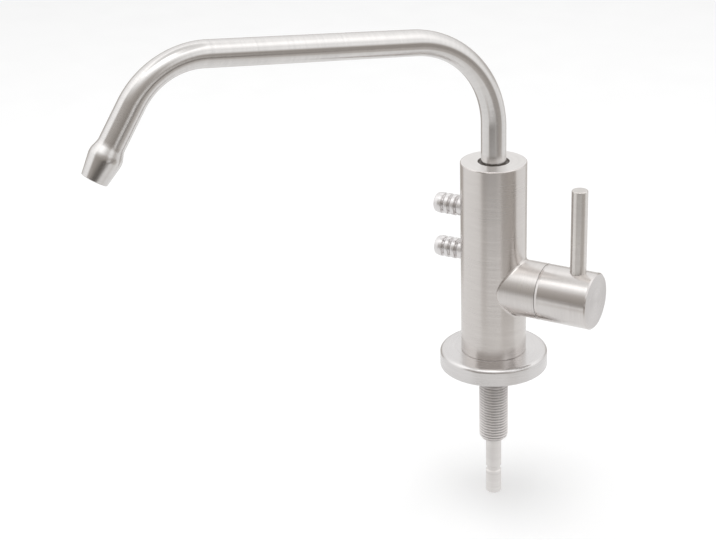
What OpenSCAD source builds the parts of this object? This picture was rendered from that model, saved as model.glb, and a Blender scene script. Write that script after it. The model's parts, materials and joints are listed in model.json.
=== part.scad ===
// Drinking water filter tap for a worktop.
// A turned column stands on a round base flange. A swan-neck spout swivels in its top, a
// quarter-turn valve with a lever sits in a branch on one side, and two hose barbs sit
// opposite the valve: the lower one sends the water out to a filter, the upper one takes it
// back to the spout. A threaded shank with a tube stem goes down through the worktop.
// Millimetres. Z is up, z = 0 is the worktop, and the spout points along -Y at rest.

/* [Base] */
// Diameter of the base flange
flange_d = 43.2; // [38:0.2:60]
// Thickness of the base flange
flange_h = 7; // [5:0.5:12]
// Rounding of the flange's upper edge
flange_round = 1.5; // [0.2:0.1:2]
// Distance from the flange's rim to the middle of the sealing ring below it
base_ring_inset = 4.6; // [3:0.2:8]
// Width of the sealing ring below the flange
base_ring_w = 2.6; // [1.6:0.2:4]
// Depth of the sealing ring's groove
base_ring_h = 2; // [1:0.2:3]

/* [Shank] */
// Outside diameter of the threaded shank
shank_d = 11.8; // [11:0.1:16]
// Length of the shank's thread below the flange
shank_len = 31.5; // [20:0.2:60]
// Pitch of the shank's thread
thread_pitch = 1.25; // [1:0.25:2]
// Plain land between the thread and the rounded shoulder
shoulder_land = 0.5; // [0.4:0.1:4]
// Diameter of the tube stem, for a quarter-inch push-fit tube connector
stem_d = 6.35; // [6:0.05:9]
// Length of the stem below the shoulder
stem_len = 24.9; // [16:0.1:40]
// Distance from the stem's end to the middle of its groove
stem_groove_at = 11.1; // [5:0.1:14]
// Width of the stem's groove
stem_groove_w = 2.4; // [1:0.1:4]
// Depth of the stem's groove
stem_groove_h = 0.45; // [0.2:0.05:0.8]
// Rounding of the stem's end
stem_round = 0.6; // [0.2:0.1:0.9]
// Diameter of the threaded stub that holds the shank in the column
stub_d = 10; // [8:0.2:10.6]
// Length of that stub inside the column
stub_len = 10; // [6:0.5:14]
// Thickness of the sealing washer above the stub
shank_seal_h = 1.5; // [0.8:0.1:2.5]
// Bore of the shank and the stem
shank_bore_d = 4; // [2.5:0.1:4.6]

/* [Column] */
// Diameter of the column
column_d = 26; // [24:0.5:36]
// Height of the column's top above the worktop
column_h = 86.8; // [77:0.1:120]
// Rounding of the column's upper edge
column_round = 0.5; // [0.2:0.1:1.5]
// Chamfer at the column's foot
foot_chamfer = 0.2; // [0.1:0.1:1]
// Diameter of the water channel that rises from the shank
channel_d = 5; // [3:0.2:6]
// Diameter of the cross channel into the valve chamber
cross_d = 4.4; // [3:0.2:6.2]
// Diameter of the ducts behind the hose barbs
duct_d = 3.8; // [2.6:0.2:4.4]

/* [Hose barbs] */
// Distance from the column's top down to the upper barb
barb_drop = 20.8; // [19:0.1:24]
// Distance between the two barbs
barb_spacing = 18.5; // [14:0.5:19]
// Diameter over the barbs' ridges
barb_d = 8.3; // [7.6:0.1:11]
// Diameter of the plain collar between the column and the first groove
barb_collar_d = 7.9; // [7.4:0.1:8]
// Diameter at the bottom of the barbs' grooves
barb_root_d = 6.6; // [6.4:0.1:7.2]
// Length of a barb outside the column
barb_len = 11.8; // [11.4:0.1:20]
// Distance from ridge to ridge
barb_pitch = 2.85; // [2.4:0.05:3]
// Width of the flat on top of each ridge
barb_crest_w = 1.5; // [0.3:0.1:1.6]
// Width of the flat at the bottom of each groove
barb_floor_w = 0.5; // [0.3:0.1:0.7]
// Length of the outermost ridge, up to the barb's tip
barb_tip_len = 3.4; // [1.8:0.1:3.6]
// Diameter of the barb's tip
barb_tip_d = 7.3; // [5.4:0.1:7.5]
// Number of grooves on a barb
barb_grooves = 3; // [2:1:3]
// Length of a barb's spigot inside the column
barb_spigot_len = 5; // [3:0.5:6]

/* [Valve] */
// Distance from the column's top down to the valve's axis
valve_drop = 50.8; // [50:0.1:54]
// Direction of the valve, counted from +X towards +Y
valve_angle = 32.6; // [0:0.1:90]
// Diameter of the valve's branch
branch_d = 22.4; // [21:0.2:25]
// Length of the branch outside the column
branch_len = 9.3; // [6:0.1:20]
// Rounding of the branch's end, at the seam
branch_round = 0.1; // [0.1:0.1:1]
// Diameter of the valve chamber in the branch
chamber_d = 17; // [16.4:0.2:17.6]
// Diameter of the valve's spindle
spindle_d = 7; // [6:0.2:7.4]
// Thickness of each ceramic disc
disc_h = 2.4; // [1.6:0.1:3]
// Height of the rubber seat below the ceramic discs
seat_h = 2; // [1.2:0.1:3]
// Height of the spindle's driving bar
driver_h = 3; // [2:0.1:4]
// Thickness of the thrust washer
washer_h = 0.8; // [0.5:0.1:1.5]
// Length of the cartridge's neck inside the branch
neck_len = 5.6; // [5.2:0.1:8]
// Thickness of the cartridge's seating flange
cartridge_flange_h = 1.2; // [0.8:0.1:2]
// Height of the cartridge's hexagon
hex_h = 3; // [2:0.1:5]
// Width across the flats of the cartridge's hexagon
hex_af = 14; // [11:0.5:15]
// Thickness of the spindle's retaining clip
clip_h = 0.8; // [0.5:0.1:1.2]
// Angle that the valve's stops leave to the lever
valve_travel = 90; // [60:5:95]

/* [Handle] */
// Diameter of the knob
knob_d = 22.4; // [21.6:0.2:30]
// Length of the knob
knob_len = 21.1; // [18:0.1:40]
// Gap between the branch and the knob
seam_gap = 0.1; // [0.1:0.05:1]
// Chamfer around the knob's end face
knob_chamfer = 0.5; // [0.1:0.1:2]
// Depth of the bevel around the knob's inner edge, at the seam
knob_bevel = 0.2; // [0.1:0.05:0.6]
// Length of that bevel along the knob
knob_bevel_len = 1; // [0.2:0.1:2]
// Length of the spindle's flatted end inside the knob
drive_len = 3.6; // [3:0.1:4]
// Diameter of the lever rod
rod_d = 6.3; // [5:0.1:8]
// Distance from the knob's inner face to the rod's axis
rod_at = 13.6; // [12:0.1:14]
// Height of the rod's top above the valve's axis
rod_top = 44.6; // [25:0.2:80]
// Depth to which the rod is set into the knob
rod_set = 6; // [3:0.2:6.4]
// Rounding of the rod's top edge
rod_round = 0.5; // [0.1:0.1:1.5]
// Diameter of the knob's grub screw
grub_d = 3; // [2:0.5:3]

/* [Spout] */
// Diameter of the spout tube
tube_d = 9.8; // [8:0.1:10]
// Bore of the spout tube
tube_bore_d = 7.8; // [5.4:0.1:7.8]
// Height of the straight riser above the column
riser_len = 14.2; // [4:0.1:80]
// Bend radius at the top of the riser, to the tube's middle
bend_1_r = 38.2; // [20:0.2:70]
// Upward slope of the long run, in degrees
rise_angle = 6.3; // [0:0.1:30]
// Length of the long run
run_len = 81.7; // [20:0.5:160]
// Bend radius before the outlet, to the tube's middle
bend_2_r = 29.6; // [16:0.2:60]
// Downward slope of the outlet, in degrees
drop_angle = 57; // [30:0.5:90]
// Straight tube between the second bend and the nozzle
tail_len = 14.4; // [10:0.1:40]
// Diameter of the spout's well in the column, and of its mouth
well_d = 12.4; // [12:0.1:13]
// Depth of the bush's top below the column's top
bush_recess = 0.8; // [0.2:0.1:2]
// Height of the plastic bush
bush_h = 4.8; // [2:0.1:5.4]
// Length of the sleeve on the spout's foot
sleeve_len = 11.6; // [11.4:0.1:12]
// Depth of the tube's socket in the sleeve
socket_h = 3.6; // [2:0.1:3.8]
// Bore of the sleeve below the tube
sleeve_bore_d = 6; // [4:0.1:6.4]

/* [Nozzle] */
// Length of the nozzle
nozzle_len = 14.2; // [8:0.1:30]
// Largest diameter of the nozzle
nozzle_d = 12.4; // [10.2:0.1:16]
// Distance from the nozzle's start to its largest diameter
nozzle_crest_at = 5.1; // [3:0.1:7]
// Diameter of the nozzle's end face
nozzle_end_d = 9.6; // [6.4:0.1:9.8]
// Bore of the nozzle
nozzle_bore_d = 5; // [3:0.1:5]
// Length of the nozzle's spigot inside the tube
nozzle_spigot_len = 6; // [3:0.5:9]

/* [Fits] */
// Clearance between turning or sliding faces, on the radius
running_gap = 0.05; // [0.02:0.01:0.08]
// Clearance between faces that are brazed or screwed together, on the radius
joint_gap = 0.03; // [0.01:0.01:0.05]
// Clearance of a sealing ring from the wall that it wipes, on the radius
seal_gap = 0.02; // [0.01:0.01:0.04]

/* [Hidden] */
$fn = 96;

// Amount by which a cut runs past the face that it opens
cut = 0.5;

// Radii of the outside shapes
flange_r = flange_d / 2;
shank_r = shank_d / 2;
stem_r = stem_d / 2;
stub_r = stub_d / 2;
column_r = column_d / 2;
branch_r = branch_d / 2;
knob_r = knob_d / 2;
rod_r = rod_d / 2;
tube_r = tube_d / 2;
tube_bore_r = tube_bore_d / 2;
grub_r = grub_d / 2;
barb_r = barb_d / 2;
barb_collar_r = barb_collar_d / 2;
barb_root_r = barb_root_d / 2;
channel_r = channel_d / 2;
duct_r = duct_d / 2;

// Small edges that are only broken
flange_chamfer = 0.3;
rod_foot_chamfer = 0.3;

// Length over which a barb's spigot runs on inside its ridged part
barb_foot_lap = 1;

// Sealing ring below the flange
base_ring_out_r = flange_r - base_ring_inset + base_ring_w / 2;
base_ring_in_r = base_ring_out_r - base_ring_w;

// Metric thread form, drawn as rings
thread_h = 0.61 * thread_pitch;
thread_flank = thread_h * tan(30);
thread_crest = thread_pitch / 8;
thread_root = thread_pitch - 2 * thread_flank - thread_crest;
thread_turns = floor((shank_len - 2 * thread_pitch) / thread_pitch);

// Heights below the worktop
shoulder_round = shank_r - stem_r;
stem_end = -shank_len - shoulder_land - shoulder_round - stem_len;

// Column heights
stub_top = flange_h + stub_len;
socket_top = stub_top + shank_seal_h;
barb_upper_z = column_h - barb_drop;
barb_lower_z = barb_upper_z - barb_spacing;
valve_z = column_h - valve_drop;

// Spout's foot in the well: the sleeve stands on a lip above the water space
well_r = well_d / 2;
well_lip = 1;
well_sump = 2;
sleeve_top = column_h - bush_recess - bush_h;
sleeve_z = sleeve_top - sleeve_len;
well_step_z = sleeve_z - running_gap;
well_floor_z = barb_upper_z - duct_r - well_sump;
tube_foot_z = sleeve_top - socket_h;

// Grooves around the sleeve, counted up from its foot
spout_ring_w = 1.8;
spout_land = 0.7;
spout_groove_h = 1.4;
spout_groove_r = well_r - spout_groove_h;
spout_ring_zs = [for (i = [0, 1])
  sleeve_z + spout_land + spout_ring_w / 2 + i * (spout_ring_w + spout_land)];
snap_h = 1;
snap_bite = 0.35;
snap_angle = 320;
snap_groove_z = sleeve_z + 3 * spout_land + 2 * spout_ring_w;

// The spout's middle line in its own upright plane, as [reach, height]
bend_1_z = column_h + riser_len;
run_start = [bend_1_r * (1 - sin(rise_angle)), bend_1_z + bend_1_r * cos(rise_angle)];
run_end = run_start + run_len * [cos(rise_angle), sin(rise_angle)];
bend_2_c = run_end + bend_2_r * [sin(rise_angle), -cos(rise_angle)];
tail_start = bend_2_c + bend_2_r * [sin(drop_angle), cos(drop_angle)];
tail_end = tail_start + tail_len * [cos(drop_angle), -sin(drop_angle)];
// The straight lengths reach this far into the bends, and are thinner there by a hair
bend_lap = 0.2;
bend_step = 0.01;

// Valve distances from the column's axis, outwards
disc_film = 0.02;
end_float = 0.05;
clip_clearance = 1;
chamber_depth = seat_h + 2 * disc_h + disc_film + driver_h + washer_h + end_float + neck_len;
seam_t = column_r + branch_len;
floor_t = seam_t - chamber_depth;
fixed_t = floor_t + seat_h;
moving_t = fixed_t + disc_h + disc_film;
driver_t = moving_t + disc_h;
washer_t = driver_t + driver_h;
roof_t = washer_t + washer_h + end_float;
hex_t = seam_t + cartridge_flange_h;
neck_end_t = hex_t + hex_h;
clip_t = neck_end_t + end_float;
cavity_floor_t = clip_t + clip_h + clip_clearance;
spindle_end_t = cavity_floor_t + drive_len;
knob_t = seam_t + seam_gap;
rod_t = knob_t + rod_at;
grub_t = cavity_floor_t + drive_len / 2;
spindle_ring_ts = [roof_t + neck_len * 0.25, roof_t + neck_len * 0.75];

// The hole that is drilled on a slant from the chamber up to the lower barb's duct
slant_step = 0.2;
slant_r = duct_r - slant_step;
slant_start_t = floor_t + 0.6 * chamber_depth;

// Valve radii, with the water's ring space around the cartridge's skirt
chamber_r = chamber_d / 2;
spindle_r = spindle_d / 2;
skirt_room = 0.9;
skirt_wall = 0.85;
skirt_r = chamber_r - skirt_room;
skirt_bore_r = skirt_r - skirt_wall;
skirt_lift = 0.4;
window_w = 4;
window_margin = 0.4;
disc_r = skirt_bore_r - running_gap;
driver_inset = 0.2;
driver_r = disc_r - driver_inset;
driver_w = 7;
tongue_w = 3;
tongue_h = 0.8;
port_angle = 64;
port_in_r = 1.6;
port_land = 1.6;
port_out_r = disc_r - port_land;
seat_inset = 0.2;
seat_bore_r = port_out_r + seat_inset;
cartridge_brim = 0.9;
cartridge_flange_r = chamber_r + cartridge_brim;
cartridge_ring_w = 1.6;
cartridge_ring_inset = 1;
cartridge_groove_h = 1.35;
cartridge_groove_r = chamber_r - cartridge_groove_h;
cavity_room = 0.5;
cavity_r = cartridge_flange_r + cavity_room;
drive_end_gap = 0.2;
spindle_flat_h = 0.7;
spindle_flat = spindle_r - spindle_flat_h;
spindle_ring_w = 1.5;
spindle_groove_h = 1;
spindle_groove_r = spindle_r - spindle_groove_h;
clip_bite = 0.7;
clip_groove_r = spindle_r - clip_bite;
clip_reach = 1.3;
clip_r = spindle_r + clip_reach;
clip_angle = 290;
grub_recess = 0.6;
grub_key_r = grub_r * 0.55;
// The stop lugs fill what the bar's own width and its travel leave free, less a little play
lug_overlap = 0.7;
lug_in_r = driver_r - lug_overlap;
driver_half_angle = asin(driver_w / 2 / lug_in_r);
stop_play = 3;
lug_angle = 180 - valve_travel - 2 * driver_half_angle - stop_play;

steel = [0.74, 0.73, 0.71];
brass = [0.78, 0.62, 0.32];
rubber = [0.10, 0.10, 0.10];
ceramic = [0.92, 0.91, 0.88];
dark_plastic = [0.16, 0.16, 0.17];
pale_plastic = [0.86, 0.86, 0.84];

// A solid ring standing on z = 0
module ring(outer, inner, h) {
  difference() {
    cylinder(r = outer, h = h);
    translate([0, 0, -cut]) cylinder(r = inner, h = h + 2 * cut);
  }
}

// A round sealing ring of circular section, between two radii, with its middle at z = 0
module o_ring(outer, inner) {
  rotate_extrude() translate([(outer + inner) / 2, 0]) circle(r = (outer - inner) / 2, $fn = 48);
}

// A round bar on z = 0 with a rounded upper edge and a chamfered lower edge
module bar(r, h, top = 0, bottom = 0) {
  rotate_extrude() {
    polygon([
      [0, 0], [r - bottom, 0], [r, bottom], [r, h - top], [r - top, h - top], [r - top, h], [0, h]
    ]);
    if (top > 0) translate([r - top, h - top]) circle(r = top);
  }
}

// A sector of a ring between two radii, spread evenly about the local +X
module sector(outer, inner, h, angle) {
  rotate([0, 0, -angle / 2]) rotate_extrude(angle = angle)
    translate([inner, 0]) square([outer - inner, h]);
}

// Places children at a distance along the valve's axis: local +Z is outwards, local -X is up
module on_valve(t) {
  translate([0, 0, valve_z]) rotate([0, 0, valve_angle]) translate([t, 0, 0]) rotate([0, 90, 0])
    children();
}

// Places children on a barb's axis, opposite the valve: local +Z is outwards
module on_barb(z, t) {
  translate([0, 0, z]) rotate([0, 0, valve_angle + 180]) translate([t, 0, 0]) rotate([0, 90, 0])
    children();
}

// A straight bore from one point to another in the valve's upright plane, as [distance, height]
module duct_between(a, b, r) {
  run = b[0] - a[0];
  rise = b[1] - a[1];
  rotate([0, 0, valve_angle]) translate([a[0], 0, a[1]]) rotate([0, atan2(run, rise), 0])
    cylinder(r = r, h = norm([run, rise]));
}

// BASE

module base_flange() {
  color(steel) difference() {
    bar(flange_r, flange_h, flange_round, flange_chamfer);
    translate([0, 0, -cut]) cylinder(r = stub_r + joint_gap, h = flange_h + 2 * cut);
    translate([0, 0, -cut]) ring(base_ring_out_r, base_ring_in_r, base_ring_h + cut);
  }
}

// Pressed flush into its groove by the worktop
module base_ring() {
  color(rubber) ring(base_ring_out_r - joint_gap, base_ring_in_r + joint_gap, base_ring_h);
}

// Half section of the shank's thread, from the worktop down to the rounded shoulder
module thread_section() {
  polygon(concat(
    [[0, 0], [shank_r, 0]],
    [for (i = [1:thread_turns]) let (z = -i * thread_pitch) each [
      [shank_r, z],
      [shank_r - thread_h, z - thread_flank],
      [shank_r - thread_h, z - thread_flank - thread_root],
      [shank_r, z - 2 * thread_flank - thread_root]
    ]],
    [[shank_r, -shank_len], [0, -shank_len]]
  ));
}

// Cuts the groove around the stem, with slanted sides
module stem_groove() {
  half = stem_groove_w / 2;
  translate([0, 0, stem_end + stem_groove_at]) rotate_extrude() polygon([
    [stem_r + cut, half + cut], [stem_r - stem_groove_h, half - stem_groove_h],
    [stem_r - stem_groove_h, stem_groove_h - half], [stem_r + cut, -half - cut]
  ]);
}

module inlet_shank() {
  color(steel) difference() {
    union() {
      rotate_extrude() thread_section();
      translate([0, 0, -shank_len / 2]) cylinder(r = stub_r, h = stub_top + shank_len / 2);
      translate([0, 0, cut - shank_len]) rotate([180, 0, 0])
        bar(shank_r, cut + shoulder_land + shoulder_round, shoulder_round);
      translate([0, 0, -shank_len]) rotate([180, 0, 0])
        bar(stem_r, -shank_len - stem_end, stem_round);
    }
    stem_groove();
    translate([0, 0, stem_end - cut])
      cylinder(r = shank_bore_d / 2, h = stub_top - stem_end + 2 * cut);
  }
}

module shank_seal() {
  color(rubber) translate([0, 0, stub_top]) ring(stub_r - joint_gap, channel_r, shank_seal_h);
}

// COLUMN

module column_body() {
  color(steel) difference() {
    union() {
      translate([0, 0, flange_h]) bar(column_r, column_h - flange_h, column_round, foot_chamfer);
      on_valve(0) bar(branch_r, seam_t, branch_round);
    }
    shank_socket();
    valve_chamber();
    barb_ducts();
    spout_well();
  }
}

module shank_socket() {
  translate([0, 0, flange_h - cut])
    cylinder(r = stub_r + joint_gap, h = socket_top - flange_h + cut);
  translate([0, 0, flange_h]) cylinder(r = channel_r, h = valve_z + cross_d / 2 - flange_h);
}

module valve_chamber() {
  on_valve(0) cylinder(d = cross_d, h = floor_t + cut);
  on_valve(floor_t) cylinder(r = chamber_r, h = chamber_depth + cut);
}

// The lower barb's duct meets a slanted hole drilled through the chamber's mouth
module barb_ducts() {
  for (z = [barb_upper_z, barb_lower_z])
    on_barb(z, column_r - barb_spigot_len)
      cylinder(r = barb_root_r + joint_gap, h = barb_spigot_len + cut);
  on_barb(barb_upper_z, 0) cylinder(r = duct_r, h = column_r);
  on_barb(barb_lower_z, -floor_t) cylinder(r = duct_r, h = floor_t + column_r);
  duct_between([slant_start_t, valve_z], [floor_t, barb_lower_z], slant_r);
}

module spout_well() {
  translate([0, 0, well_floor_z]) cylinder(r = well_r - well_lip, h = column_h - well_floor_z);
  translate([0, 0, well_step_z]) cylinder(r = well_r, h = column_h - well_step_z + cut);
  translate([0, 0, snap_groove_z - running_gap])
    cylinder(r = well_r + snap_bite + 2 * running_gap, h = snap_h + 2 * running_gap);
}

// HOSE BARBS

// Half section along the barb from the column's axis: each ridge is steep towards the column,
// to hold the hose, and falls gently towards the tip
module barb_section() {
  tip_t = column_r + barb_len;
  slope_w = barb_pitch - barb_crest_w - barb_floor_w;
  first = barb_grooves - 1;
  polygon(concat(
    [[0, 0], [barb_collar_r, 0]],
    [for (i = [first:-1:0]) let (t = tip_t - barb_tip_len - i * barb_pitch) each [
      [i == first ? barb_collar_r : barb_r, t - barb_floor_w - slope_w],
      [barb_root_r, t - barb_floor_w],
      [barb_root_r, t],
      [barb_r, t]
    ]],
    [[barb_r, tip_t - barb_tip_len + barb_crest_w], [barb_tip_d / 2, tip_t], [0, tip_t]]
  ));
}

// The spigot laps a little way into the barb's ridged part, which fits round the column
module hose_barb(z) {
  color(steel) difference() {
    union() {
      difference() {
        on_barb(z, 0) rotate_extrude() barb_section();
        translate([0, 0, z - column_r]) cylinder(r = column_r + joint_gap, h = column_d);
      }
      on_barb(z, column_r - barb_spigot_len)
        cylinder(r = barb_root_r, h = barb_spigot_len + barb_foot_lap);
    }
    on_barb(z, 0) cylinder(r = duct_r, h = column_r + barb_len + cut);
  }
}

module hose_barb_upper() hose_barb(barb_upper_z);
module hose_barb_lower() hose_barb(barb_lower_z);

// VALVE CARTRIDGE

module seat_seal() {
  color(rubber) on_valve(floor_t) ring(disc_r, seat_bore_r, seat_h);
}

// A polished disc with two opposite ports about the local X, turned by an angle
module ported_disc(turn) {
  difference() {
    cylinder(r = disc_r, h = disc_h);
    for (side = [0, 180])
      rotate([0, 0, turn + side]) translate([0, 0, -cut])
        sector(port_out_r, port_in_r, disc_h + 2 * cut, port_angle);
  }
}

module fixed_disc() {
  color(ceramic) on_valve(fixed_t) ported_disc(90);
}

// Its ports lie across those of the fixed disc at rest, so the valve is shut
module moving_disc() {
  color(ceramic) on_valve(moving_t) difference() {
    ported_disc(0);
    translate([-tongue_w / 2 - joint_gap, -disc_r - cut, disc_h - tongue_h])
      cube([tongue_w + 2 * joint_gap, 2 * (disc_r + cut), tongue_h + cut]);
  }
}

module cartridge_body() {
  skirt_t = floor_t + skirt_lift;
  color(brass) difference() {
    union() {
      on_valve(skirt_t) ring(skirt_r, skirt_bore_r, roof_t - skirt_t);
      on_valve(roof_t) cylinder(r = chamber_r - joint_gap, h = seam_t - roof_t);
      on_valve(seam_t) cylinder(r = cartridge_flange_r, h = cartridge_flange_h);
      on_valve(hex_t) cylinder(d = hex_af / cos(30), h = hex_h, $fn = 6);
      for (side = [45, 225])
        on_valve(driver_t + end_float) rotate([0, 0, side])
          sector(skirt_r, lug_in_r, driver_h - 2 * end_float, lug_angle);
    }
    on_valve(roof_t - cut) cylinder(r = spindle_r + running_gap, h = neck_end_t - roof_t + 2 * cut);
    // Two windows let the water out of the skirt
    on_valve(driver_t + window_margin) rotate([0, 0, 45]) translate([-window_w / 2, -chamber_r, 0])
      cube([window_w, chamber_d, driver_h - 2 * window_margin]);
    on_valve(seam_t - cartridge_ring_inset - cartridge_ring_w)
      ring(chamber_r + cut, cartridge_groove_r, cartridge_ring_w);
  }
}

module cartridge_o_ring() {
  color(rubber) on_valve(seam_t - cartridge_ring_inset - cartridge_ring_w / 2)
    o_ring(chamber_r - seal_gap, cartridge_groove_r + seal_gap);
}

module spindle() {
  color(brass) difference() {
    union() {
      on_valve(driver_t) intersection() {
        cylinder(r = driver_r, h = driver_h);
        translate([-driver_w / 2, -driver_r, 0]) cube([driver_w, 2 * driver_r, driver_h]);
      }
      on_valve(driver_t - tongue_h) intersection() {
        cylinder(r = driver_r, h = tongue_h + cut);
        translate([-tongue_w / 2, -driver_r, 0]) cube([tongue_w, 2 * driver_r, tongue_h + cut]);
      }
      on_valve(washer_t) cylinder(r = spindle_r, h = spindle_end_t - washer_t);
    }
    for (t = spindle_ring_ts)
      on_valve(t - spindle_ring_w / 2) ring(spindle_r + cut, spindle_groove_r, spindle_ring_w);
    on_valve(clip_t) ring(spindle_r + cut, clip_groove_r, clip_h);
    on_valve(cavity_floor_t - cut) translate([spindle_flat, -spindle_r, 0])
      cube([spindle_r, spindle_d, drive_len + 2 * cut]);
  }
}

module spindle_o_rings() {
  color(rubber) for (t = spindle_ring_ts)
    on_valve(t) o_ring(spindle_r + running_gap - seal_gap, spindle_groove_r + seal_gap);
}

module thrust_washer() {
  color(pale_plastic) on_valve(washer_t) ring(disc_r, spindle_r + joint_gap, washer_h);
}

// An open ring that snaps into the spindle's groove
module spindle_clip() {
  color(steel) on_valve(clip_t) sector(clip_r, clip_groove_r + joint_gap, clip_h, clip_angle);
}

// HANDLE

module handle_knob() {
  color(steel) difference() {
    on_valve(knob_t) knob_blank();
    on_valve(knob_t - cut) cylinder(r = cavity_r, h = cavity_floor_t - knob_t + cut);
    on_valve(cavity_floor_t - cut) intersection() {
      cylinder(r = spindle_r + joint_gap, h = drive_len + drive_end_gap + cut);
      translate([-spindle_d, -spindle_d, 0])
        cube([
          spindle_d + spindle_flat + joint_gap, 2 * spindle_d, drive_len + drive_end_gap + cut
        ]);
    }
    on_valve(rod_t) rotate([0, -90, 0]) translate([0, 0, knob_r - rod_set])
      cylinder(r = rod_r + joint_gap, h = rod_set + cut);
    on_valve(grub_t) rotate([0, 90, 0]) cylinder(r = grub_r + joint_gap, h = knob_r + cut);
  }
}

// The knob's outside, bevelled at the seam and chamfered around its end face
module knob_blank() {
  rotate_extrude() polygon([
    [0, 0], [knob_r - knob_bevel, 0], [knob_r, knob_bevel_len], [knob_r, knob_len - knob_chamfer],
    [knob_r - knob_chamfer, knob_len], [0, knob_len]
  ]);
}

module lever_rod() {
  color(steel) on_valve(rod_t) rotate([0, -90, 0]) translate([0, 0, knob_r - rod_set])
    bar(rod_r, rod_top - knob_r + rod_set, rod_round, rod_foot_chamfer);
}

// Bears on the spindle's flat, and sits just below the knob's surface
module handle_grub_screw() {
  grub_len = knob_r - grub_recess - spindle_flat;
  color(dark_plastic) on_valve(grub_t) rotate([0, 90, 0]) translate([0, 0, spindle_flat])
    difference() {
      cylinder(r = grub_r, h = grub_len);
      translate([0, 0, grub_len - grub_r]) cylinder(r = grub_key_r, h = grub_r + cut, $fn = 6);
    }
}

// SPOUT

// Local +X is the way in which the spout points
module on_spout() {
  rotate([0, 0, -90]) children();
}

// Places children on the spout's middle line: local +Z runs along it, down-sloped by an angle
module along_spout(point, slope) {
  translate([point[0], 0, point[1]]) rotate([0, 90 + slope, 0]) children();
}

// Section of the spout's tube, with a wall that may be drawn in on both faces
module tube_section(inset = 0) {
  difference() {
    circle(r = tube_r - inset);
    circle(r = tube_bore_r + inset);
  }
}

// A straight length of the tube, which may start or end inside a bend
module spout_straight(point, slope, len, before = bend_lap, after = bend_lap) {
  along_spout(point, slope) translate([0, 0, -before])
    linear_extrude(before + len + after) tube_section(bend_step);
}

// A bend of the tube about a centre, from one direction to another, as angles above +X
module spout_bend(centre, bend_r, from, to) {
  translate([centre[0], 0, centre[1]]) rotate([90, 0, 0]) rotate([0, 0, from])
    rotate_extrude(angle = to - from) translate([bend_r, 0]) tube_section();
}

module spout_tube() {
  color(steel) on_spout() {
    spout_straight([0, tube_foot_z], -90, bend_1_z - tube_foot_z, before = 0);
    spout_bend([bend_1_r, bend_1_z], bend_1_r, 90 + rise_angle, 180);
    spout_straight(run_start, -rise_angle, run_len);
    spout_bend(bend_2_c, bend_2_r, 90 - drop_angle, 90 + rise_angle);
    spout_straight(tail_start, drop_angle, tail_len, after = 0);
  }
}

// Brazed on the tube's foot; two grooves hold sealing rings and a third holds the snap ring
module spout_sleeve() {
  color(brass) difference() {
    translate([0, 0, sleeve_z]) cylinder(r = well_r - running_gap, h = sleeve_len);
    translate([0, 0, sleeve_z - cut]) cylinder(r = sleeve_bore_d / 2, h = sleeve_len);
    translate([0, 0, tube_foot_z]) cylinder(r = tube_r + joint_gap, h = socket_h + cut);
    for (z = spout_ring_zs)
      translate([0, 0, z - spout_ring_w / 2]) ring(well_r + cut, spout_groove_r, spout_ring_w);
    translate([0, 0, snap_groove_z]) ring(well_r + cut, spout_groove_r, snap_h);
  }
}

module spout_o_rings() {
  color(rubber) for (z = spout_ring_zs)
    translate([0, 0, z]) o_ring(well_r - seal_gap, spout_groove_r + seal_gap);
}

// An open spring ring that keeps the spout from being pulled out of the column
module spout_snap_ring() {
  color(steel) translate([0, 0, snap_groove_z])
    sector(well_r + snap_bite, spout_groove_r + joint_gap, snap_h, snap_angle);
}

module spout_bush() {
  color(dark_plastic) translate([0, 0, sleeve_top])
    ring(well_r - running_gap, tube_r + joint_gap, bush_h);
}

// A spigot in the tube, then a cone that widens and a longer one that narrows
module outlet_nozzle() {
  color(steel) on_spout() along_spout(tail_end, drop_angle) difference() {
    rotate_extrude() polygon([
      [0, -nozzle_spigot_len], [tube_bore_r - joint_gap, -nozzle_spigot_len],
      [tube_bore_r - joint_gap, 0], [tube_r, 0], [nozzle_d / 2, nozzle_crest_at],
      [nozzle_end_d / 2, nozzle_len], [0, nozzle_len]
    ]);
    translate([0, 0, -nozzle_spigot_len - cut])
      cylinder(r = nozzle_bore_d / 2, h = nozzle_spigot_len + nozzle_len + 2 * cut);
  }
}

base_flange();
base_ring();
inlet_shank();
shank_seal();
column_body();
hose_barb_upper();
hose_barb_lower();
cartridge_body();
cartridge_o_ring();
seat_seal();
fixed_disc();
moving_disc();
spindle();
spindle_o_rings();
thrust_washer();
spindle_clip();
handle_knob();
lever_rod();
handle_grub_screw();
spout_tube();
spout_sleeve();
spout_o_rings();
spout_snap_ring();
spout_bush();
outlet_nozzle();
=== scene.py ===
"""Looks of a drinking water filter tap.

Brushed stainless steel all over: a column on a round flange, a swan-neck spout, a valve knob
with an upright lever, two ridged hose barbs, and a threaded shank that ends in a tube stem.
Metres, Z up, z = 0 is the worktop, and the spout points along -Y at rest.
"""

import json
import math

import bmesh
import bpy
from mathutils import Matrix, Vector


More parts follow.
